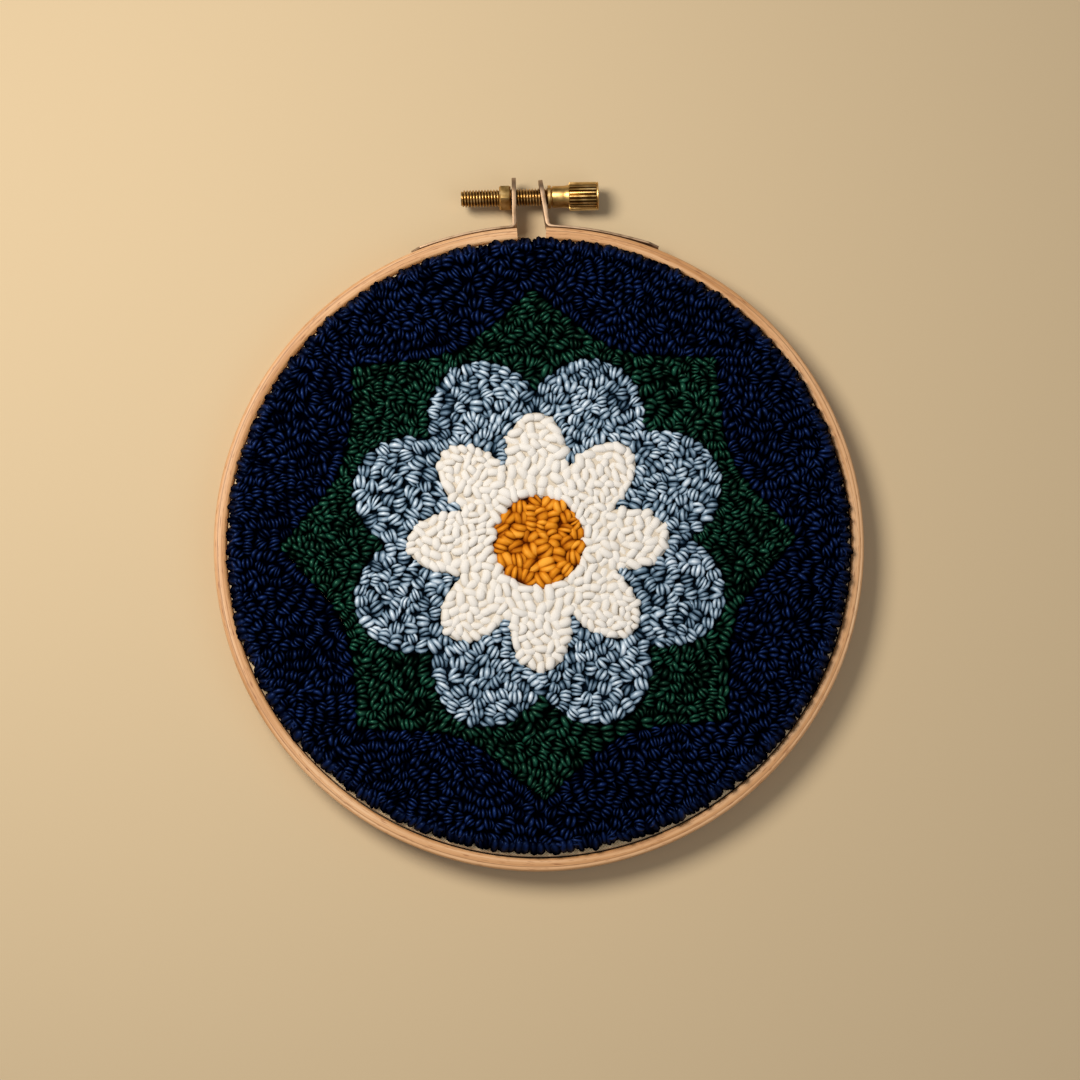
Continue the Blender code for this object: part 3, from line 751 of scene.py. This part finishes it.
def ring_piece(name, section, angles, wobble, closed, node):
    """A section (radius, height) carried round the hoop at the angles, its radius changed by the wobble.

    An open ring's ends are capped. They show end grain, so their uv map is shrunk to END_GRAIN.
    """
    radius = section[None, :, 0] + wobble[:, None]
    points = about_hoop(radius, angles[:, None], np.broadcast_to(section[None, :, 1], radius.shape))
    rows, columns = radius.shape
    quads = grid_quads(rows, columns, closed, True)
    steps = np.linalg.norm(np.diff(np.vstack([section, section[:1]]), axis=0), axis=1)
    v = np.concatenate([[0], np.cumsum(steps)])
    u = (np.append(angles, angles[0] + math.tau) if closed else angles) * RING_RADIUS
    uv = grid_uv(u, v)
    triangles = None
    if not closed:
        fan = np.arange(1, columns - 1)
        start_cap = np.stack([np.zeros_like(fan), fan, fan + 1], axis=1)
        end_cap = start_cap[:, ::-1] + (rows - 1) * columns
        triangles = np.concatenate([start_cap, end_cap])
        uv = np.concatenate([uv, (section * END_GRAIN)[triangles % columns].reshape(-1, 2)])
    piece = make_piece(name, points.reshape(-1, 3), quads, triangles, uv, material=BEECH)
    piece.data.set_sharp_from_angle(angle=math.radians(50))
    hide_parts(node)
    print(f"{name}: {rows} sections of {columns} points")


half_gap = math.asin(RING_GAP / 2 / RING_RADIUS)
outer_angles = np.linspace(math.pi / 2 + half_gap, math.pi * 2.5 - half_gap, 361)
outer_wobble = 0.06 * MM * np.sin(3 * outer_angles + 0.6) + 0.03 * MM * np.sin(11 * outer_angles)
outer_section = rounded_section(
    (RING_RADIUS - RING_WALL, 0), (RING_RADIUS - 0.05 * MM, RING_HIGH[2]), 0.7 * MM)
ring_piece("ring_outer", outer_section, outer_angles, outer_wobble, False, "outer_ring")
inner_angles = np.arange(288) / 288 * math.tau
inner_section = rounded_section((INNER_RADIUS - RING_WALL, 0), (INNER_RADIUS, INNER_HIGH[2]), 0.5 * MM)
ring_piece("ring_inner", inner_section, inner_angles, np.zeros_like(inner_angles), True, "inner_ring")

# %% [markdown]
# ## The ground cloth
# An even-weave cotton with threads about 0.7 mm apart, cut round, laid over the inner ring and turned
# down between the rings. It is worked out as the flat disc that it was: each point keeps its distance
# along the cloth from the middle, so the weave runs true over the edge and down the side.

# %% Cloth material
THREAD_SPACING = 0.7 * MM


def cloth_material():
    """Cream cotton: crossing threads as two waves, thinned by noise, so that the weave is uneven."""
    material, tree, shader = new_material("cream even-weave cotton")
    uv = add(tree, "UVMap", uv_map="flat").outputs[0]
    thread = math.tau / THREAD_SPACING
    parts = add(tree, "SeparateXYZ", {0: uv}).outputs
    turns = [add(tree, "Math", {0: parts[k], 1: thread}, operation="MULTIPLY").outputs[0] for k in (0, 1)]
    waves = [add(tree, "Math", {0: turn}, operation="SINE").outputs[0] for turn in turns]
    crossing = add(tree, "Math", {0: waves[0], 1: waves[1]}, operation="MULTIPLY").outputs[0]
    noise = add(tree, "TexNoise", {"Vector": uv, "Scale": 900.0, "Detail": 3.0}).outputs["Fac"]
    height = add(tree, "Math", {0: crossing, 1: 0.3, 2: noise}, operation="MULTIPLY_ADD").outputs[0]
    # Low points of the weave take the darker stops, painted shade between the threads; the noise adds the
    # threads' own uneven tone.
    cream = ramp(tree, height, [(0.15, "b4946a"), (0.5, "dac298"), (0.8, "ead8b6")])
    tree.links.new(cream, shader.inputs["Base Color"])
    bump = add(tree, "Bump", {"Height": height, "Strength": 0.8, "Distance": 0.2 * MM})
    tree.links.new(bump.outputs[0], shader.inputs["Normal"])
    set_shader(shader, Roughness=0.9, Sheen_Weight=0.2, Specular_IOR_Level=0.3)
    return material


COTTON = cloth_material()
print("cloth:", COTTON.name)

# %% Cloth shape
CLOTH_THICKNESS = 0.7 * MM


def cloth_piece(thickness=CLOTH_THICKNESS, bend=0.9 * MM, columns=180, down_steps=8):
    """A closed sheet: out from the middle, round a bend of 0.9 mm and straight down to the cut edge.

    The outside line is r = s while flat, then a quarter circle, then straight down. The inside line is the
    same, a thickness inwards. Both are turned about the hoop's axis, and s is kept as the cloth's own uv.
    """
    top, foot = CLOTH_HIGH[2], CLOTH_LOW[2]
    flat_r = CLOTH_RADIUS - bend
    quarter = np.linspace(0, math.pi / 2, 6)[1:]
    down = np.linspace(top - bend, foot, down_steps + 1)[1:]
    flats = np.array([0.02, 0.3, 0.6, 0.85, 1.0]) * flat_r

    def line(inset):
        """The section's radii and heights, an inset in from its outside."""
        r = np.concatenate([
            flats, flat_r + (bend - inset) * np.sin(quarter), np.full(down_steps, CLOTH_RADIUS - inset)])
        z = np.concatenate([
            np.full(len(flats), top - inset), top - bend + (bend - inset) * np.cos(quarter), down])
        return r, z

    s = np.concatenate([flats, flat_r + bend * quarter, flat_r + bend * math.pi / 2 + (top - bend - down)])
    outside, inside = line(0), line(thickness)
    r = np.concatenate([outside[0], inside[0][::-1]])
    z = np.concatenate([outside[1], inside[1][::-1]])
    s = np.concatenate([s, s[::-1]])
    angle = np.arange(columns) / columns * math.tau
    points = about_hoop(r[:, None], angle[None], np.broadcast_to(z[:, None], (len(r), columns)))
    quads = grid_quads(len(r), columns, False, True)
    flat = np.stack([s[:, None] * np.cos(angle), s[:, None] * np.sin(angle)], axis=-1).reshape(-1, 2)
    poles = [about_hoop(0.0, 0.0, top), about_hoop(0.0, 0.0, top - thickness)]
    points = np.concatenate([points.reshape(-1, 3), poles])
    flat = np.concatenate([flat, [[0, 0], [0, 0]]])
    triangles = end_fans(columns, len(points) - 2, len(points) - 1, (len(r) - 1) * columns)[:, ::-1]
    uv = np.concatenate([flat[quads.ravel()], flat[triangles.ravel()]])
    piece = make_piece("cloth_ground", points, quads, triangles, uv, material=COTTON)
    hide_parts("ground_cloth")
    return piece, s.max()


cloth, cut_radius = cloth_piece()
print(f"cloth cut to {2000 * cut_radius:.0f} mm across")

# %% [markdown]
# ## The back of the work
# Behind the cloth each loop's yarn shows as a flat running stitch, in the loop's own colour. They are the
# same strands again, few-sided, pressed against the cloth and turned along the rows.

# %% Stitches on the back
BACK_STATIONS = np.array([-1, -0.75, 0, 0.75, 1])
BACK_SIDES = 6
STITCH_SINK = 0.12 * MM
STITCH_MARGIN = 1.8 * MM


def back_stitches(yarn, seed):
    """A flat stitch under each loop of a colour, along the ring direction with some scatter."""
    rng = np.random.default_rng(seed)
    seeds = STITCHES[yarn]
    count = len(seeds)
    heading = np.arctan2(seeds[:, 1], seeds[:, 0]) + math.pi / 2 + rng.normal(0, 0.35, count)
    zero = np.zeros(count)
    along = np.stack([np.cos(heading), np.sin(heading), zero], axis=1)
    down = np.tile([0.0, 0.0, -1.0], (count, 1))
    level = CLOTH_HIGH[2] - CLOTH_THICKNESS - STITCH_SINK
    strands = {
        "centre": np.column_stack([seeds + HOOP_CENTRE[:2], zero + level]),
        "along": along, "across": np.cross(down, along), "up": down,
        "half_length": rng.uniform(1.15, 1.45, count) * MM, "half_width": rng.uniform(0.5, 0.62, count) * MM,
        "half_height": zero + 0.3 * MM, "drop": zero + 0.25 * MM, "bow": zero}
    inside = np.hypot(seeds[:, 0], seeds[:, 1]) < INNER_RADIUS - RING_WALL - STITCH_MARGIN
    strands, tone = some_of(strands, rng.normal(0, TONE_SCATTER, count), inside)
    field_piece("stitches_" + yarn, [strand_arrays(strands, tone, BACK_STATIONS, BACK_SIDES)], yarn)


for number, yarn in enumerate(STITCHES):
    back_stitches(yarn, 61 + number)

# %% [markdown]
# ## The clamp
# The straps are thin steel strip, bent cold and worn on its edges, and the nut is hexagonal brass bar.
# Their shapes are right in the model, so each is a copy of its solid with the edges eased. The thumb
# screw is made again, because its thread and its knurled grip are finer than the solid's.

# %% Metal materials


def metal_material(name, stops, recess_dark, roughness, grain, spread):
    """Bare metal: the colour runs through a ramp over soft noise, and fine lines bump the surface.

    Where a piece has the attribute recess, as in the roots of a thread, a dark colour is mixed in.
    """
    material, tree, shader = new_material(name)
    place = add(tree, "TexCoord").outputs["Object"]
    cloud = add(tree, "TexNoise", {"Vector": place, "Scale": spread, "Detail": 3.0}).outputs["Fac"]
    lines_at = add(tree, "Mapping", {"Vector": place, "Scale": grain}).outputs[0]
    lines = add(tree, "TexNoise", {"Vector": lines_at, "Scale": 1.0, "Detail": 2.0}).outputs["Fac"]
    recess = add(tree, "Attribute", attribute_name="recess").outputs["Fac"]
    clean = ramp(tree, cloud, stops)
    colour = add(tree, "Mix", {0: recess, 6: clean, 7: linear(recess_dark)}, data_type="RGBA").outputs[2]
    tree.links.new(colour, shader.inputs["Base Color"])
    rough = add(tree, "MapRange", {0: cloud, 1: 0.3, 2: 0.7, 3: roughness - 0.08, 4: roughness + 0.12})
    tree.links.new(rough.outputs[0], shader.inputs["Roughness"])
    bump = add(tree, "Bump", {"Height": lines, "Strength": 0.3, "Distance": 0.03 * MM})
    tree.links.new(bump.outputs[0], shader.inputs["Normal"])
    set_shader(shader, Metallic=1.0)
    return material


STEEL = metal_material("bent steel strip", [(0.3, "93795f"), (0.55, "b49a80"), (0.75, "c9b296")],
                       "4a3a2c", 0.5, (900, 900, 4000), 300)
BRASS = metal_material("turned brass", [(0.3, "b08848"), (0.55, "dcb674"), (0.75, "f4d8a0")],
                       "4c2e0a", 0.36, (5200, 800, 800), 420)
print("metals:", STEEL.name, "and", BRASS.name)

# %% Eased copies
HARD_ANGLE, CREASE_ANGLE = math.radians(30), math.radians(20)


def eased_copy(node, name, width, material):
    """A copy of a solid: its loose triangles joined, flat faces made one, and its hard edges rounded."""
    bm = bmesh.new()
    bm.from_mesh(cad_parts[node].data)
    bmesh.ops.remove_doubles(bm, verts=bm.verts, dist=1e-6)
    bmesh.ops.dissolve_limit(bm, angle_limit=math.radians(1), verts=bm.verts, edges=bm.edges)
    hard = [edge for edge in bm.edges if edge.calc_face_angle(0) > HARD_ANGLE]
    bmesh.ops.bevel(bm, geom=hard, offset=width, segments=3, profile=0.5, affect="EDGES", clamp_overlap=True)
    mesh = bpy.data.meshes.new(name)
    bm.to_mesh(mesh)
    bm.free()
    mesh.shade_smooth()
    mesh.set_sharp_from_angle(angle=CREASE_ANGLE)
    piece = dress(bpy.data.objects.new(name, mesh), "root", material)
    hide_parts(node)
    print(f"{name}: {len(mesh.polygons)} faces")


for side in ("left", "right"):
    eased_copy("strap_" + side, "clamp_strap_" + side, 0.09 * MM, STEEL)
eased_copy("clamp_nut", "nut", 0.12 * MM, BRASS)

# %% Thumb screw
SCREW_LOW, SCREW_HIGH, SCREW_MIDDLE = spans("clamp_screw")
THREAD_PITCH = 0.7 * MM
THREAD_ROOT, THREAD_DEPTH = 1.62 * MM, 0.46 * MM
THREAD_END = 4.1 * MM
STEPS_A_PITCH = 8
GRIP_START = 9.0 * MM
GROOVE_DEPTH = 0.42 * MM


def revolved(x, radius, columns):
    """Points about the screw's axis: (y, z) is the radius times (cos, sin). radius is a grid, x by angle."""
    angle = np.arange(columns) / columns * math.tau
    y = SCREW_MIDDLE[1] + radius * np.cos(angle)
    z = SCREW_MIDDLE[2] + radius * np.sin(angle)
    return np.stack(np.broadcast_arrays(x[:, None], y, z), axis=-1)


def closed_bar(x, radius, recess, columns):
    """A revolved grid with a point at the middle of each end, and how deep each point lies in a recess."""
    points = revolved(x, radius, columns)
    poles = [[x[0], SCREW_MIDDLE[1], SCREW_MIDDLE[2]], [x[-1], SCREW_MIDDLE[1], SCREW_MIDDLE[2]]]
    count = len(x) * columns
    triangles = end_fans(columns, count, count + 1, count - columns)
    quads = grid_quads(len(x), columns, False, True)[:, ::-1]
    return np.concatenate([points.reshape(-1, 3), poles]), quads, triangles, np.append(recess.ravel(), [0, 0])


def shank(columns=32):
    """Thread, collar, neck and barrel.

    The thread's radius is the root plus its depth times a triangle wave of x over the pitch less the
    angle over a full turn, so its crests climb as a helix. The rest is a list of x and radius.
    """
    angle = np.arange(columns) / columns
    x = np.arange(SCREW_LOW[0], THREAD_END, THREAD_PITCH / STEPS_A_PITCH)
    phase = (x[:, None] / THREAD_PITCH - angle[None]) % 1
    crest = np.clip(1.35 * (1 - np.abs(2 * phase - 1)) - 0.12, 0, 1)
    run_in = np.clip((x - SCREW_LOW[0]) / THREAD_PITCH, 0.25, 1)[:, None]
    thread = THREAD_ROOT + THREAD_DEPTH * crest * run_in
    turned = np.array([
        (4.0, 2.1), (4.0, 2.62), (4.1, 2.75), (4.62, 2.75), (4.75, 2.6), (4.8, 2.15), (4.95, 2.12),
        (5.0, 2.3), (5.12, 2.52), (5.3, 2.58), (7.6, 2.58), (8.2, 2.62), (8.7, 2.78), (8.95, 2.86),
        (9.3, 2.86)]) * MM
    radius = np.concatenate([thread, np.broadcast_to(turned[:, 1:], (len(turned), columns))])
    recess = np.concatenate([0.9 * (1 - crest), np.zeros((len(turned), columns))])
    return closed_bar(np.concatenate([x, turned[:, 0]]), radius, recess, columns)


def grip(columns=288, ridges=24):
    """The knurled grip: straight ridges with grooves as wide, and a plain rim turned on its far end.

    The groove's share of its depth is a smooth step of the cosine of the ridge count times the angle.
    """
    angle = np.arange(columns) / columns * math.tau
    groove = np.clip(0.5 - 1.4 * np.cos(ridges * angle), 0, 1)
    start, end = GRIP_START, SCREW_HIGH[0]
    top = (SCREW_HIGH[1] - SCREW_LOW[1]) / 2
    stations = np.array([
        # x, radius, share of the groove
        (start, 0.3 * MM, 0), (start, top - 0.3 * MM, 0.3), (start + 0.12 * MM, top - 0.06 * MM, 1),
        (start + 0.25 * MM, top, 1), (end - 0.6 * MM, top, 1), (end - 0.5 * MM, top - 0.1 * MM, 0.8),
        (end - 0.45 * MM, top - 0.3 * MM, 0.2), (end - 0.4 * MM, top - 0.05 * MM, 0),
        (end - 0.15 * MM, top, 0), (end - 0.05 * MM, top - 0.1 * MM, 0), (end, top - 0.3 * MM, 0),
        (end, 0.3 * MM, 0)])
    x, radius, share = stations.T
    cut = share[:, None] * groove[None]
    return closed_bar(x, radius[:, None] - GROOVE_DEPTH * cut, cut, columns)


bars = [shank(), grip()]
offset = len(bars[0][0])
screw = make_piece(
    "thumb_screw", np.concatenate([bars[0][0], bars[1][0]]),
    np.concatenate([bars[0][1], bars[1][1] + offset]), np.concatenate([bars[0][2], bars[1][2] + offset]),
    body="screw", material=BRASS)
recess = np.concatenate([bars[0][3], bars[1][3]]).astype(np.float32)
screw.data.attributes.new("recess", "FLOAT", "POINT").data.foreach_set("value", recess)
screw.data.set_sharp_from_angle(angle=math.radians(35))
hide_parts("clamp_screw")
print(f"thumb screw: {len(screw.data.polygons)} faces")

# %% [markdown]
# ## Floor, light and camera
# A plain pale floor stands for whatever the hoop lies on. The key light is a soft box high on the upper
# left, low enough to catch the strands, with a wide weak fill from the other side. The camera looks
# almost straight down, 8.25 degrees from below the middle, and rolls so that the clamp leans left.

# %% Floor
FLOOR_SIZE = 4.0
corner = FLOOR_SIZE / 2 * np.array([(-1, -1), (1, -1), (1, 1), (-1, 1)])
floor_material, _, floor_shader = new_material("pale matt floor")
set_shader(floor_shader, Base_Color=linear("ccb896"), Roughness=0.8, Specular_IOR_Level=0.2)
floor_mesh = bpy.data.meshes.new("floor")
floor_mesh.from_pydata([(x, y, -0.05 * MM) for x, y in corner], [], [(0, 1, 2, 3)])
floor_mesh.materials.append(floor_material)
floor = bpy.data.objects.new("floor", floor_mesh)
bpy.context.scene.collection.objects.link(floor)
print(f"floor {FLOOR_SIZE:.0f} m across")

# %% Lights


def pointed_at(obj, place, target):
    """Puts an object at a place with its -Z axis towards the target."""
    obj.location = place
    obj.rotation_mode = "QUATERNION"
    obj.rotation_quaternion = (Vector(target) - Vector(place)).to_track_quat("-Z", "Y")


def soft_box(name, place, size, power, hex_colour):
    """A round soft lamp at a place, size metres across, that points at the hoop."""
    light = bpy.data.lights.new(name, "AREA")
    light.shape = "DISK"
    light.size = size
    light.energy = power
    light.color = linear(hex_colour)[:3]
    lamp = bpy.data.objects.new(name, light)
    bpy.context.scene.collection.objects.link(lamp)
    pointed_at(lamp, place, tuple(HOOP_CENTRE))


soft_box("key", (-0.2, 0.13, 0.4), 0.22, 2.1, "fff6ea")
soft_box("fill", (0.6, -0.5, 0.9), 0.9, 2.0, "f4f6ff")
world = bpy.data.worlds.new("studio")
bpy.context.scene.world = world
world.use_nodes = True
world.node_tree.nodes["Background"].inputs["Color"].default_value = linear("ece9e4")
world.node_tree.nodes["Background"].inputs["Strength"].default_value = 0.26
bpy.context.scene.view_settings.view_transform = "Standard"
bpy.context.scene.view_settings.look = "None"
print("lights:", [light.name for light in bpy.data.lights])

# %% Camera
IMAGE = 1080
PIXELS_PER_MM = 4.343
LENS, SENSOR = 85.0, 36.0
TILT, ROLL = math.radians(8.25), math.radians(1.3)
AIM = (0.33 * MM, 0.61 * MM)
distance = IMAGE / PIXELS_PER_MM * MM * LENS / SENSOR
look_at = np.array([HOOP_CENTRE[0] + AIM[0], HOOP_CENTRE[1] + AIM[1], RING_HIGH[2]])
camera_data = bpy.data.cameras.new("camera")
camera_data.lens = LENS
camera_data.sensor_width = SENSOR
camera_data.clip_start = 0.01
camera = bpy.data.objects.new("camera", camera_data)
bpy.context.scene.collection.objects.link(camera)
camera.rotation_mode = "XYZ"
camera.location = look_at + distance * np.array([0, -math.sin(TILT), math.cos(TILT)])
camera.rotation_euler = (TILT, 0, 0)
camera.rotation_euler.rotate_axis("Z", -ROLL)
bpy.context.scene.camera = camera
print(f"camera {distance:.3f} m from the hoop")
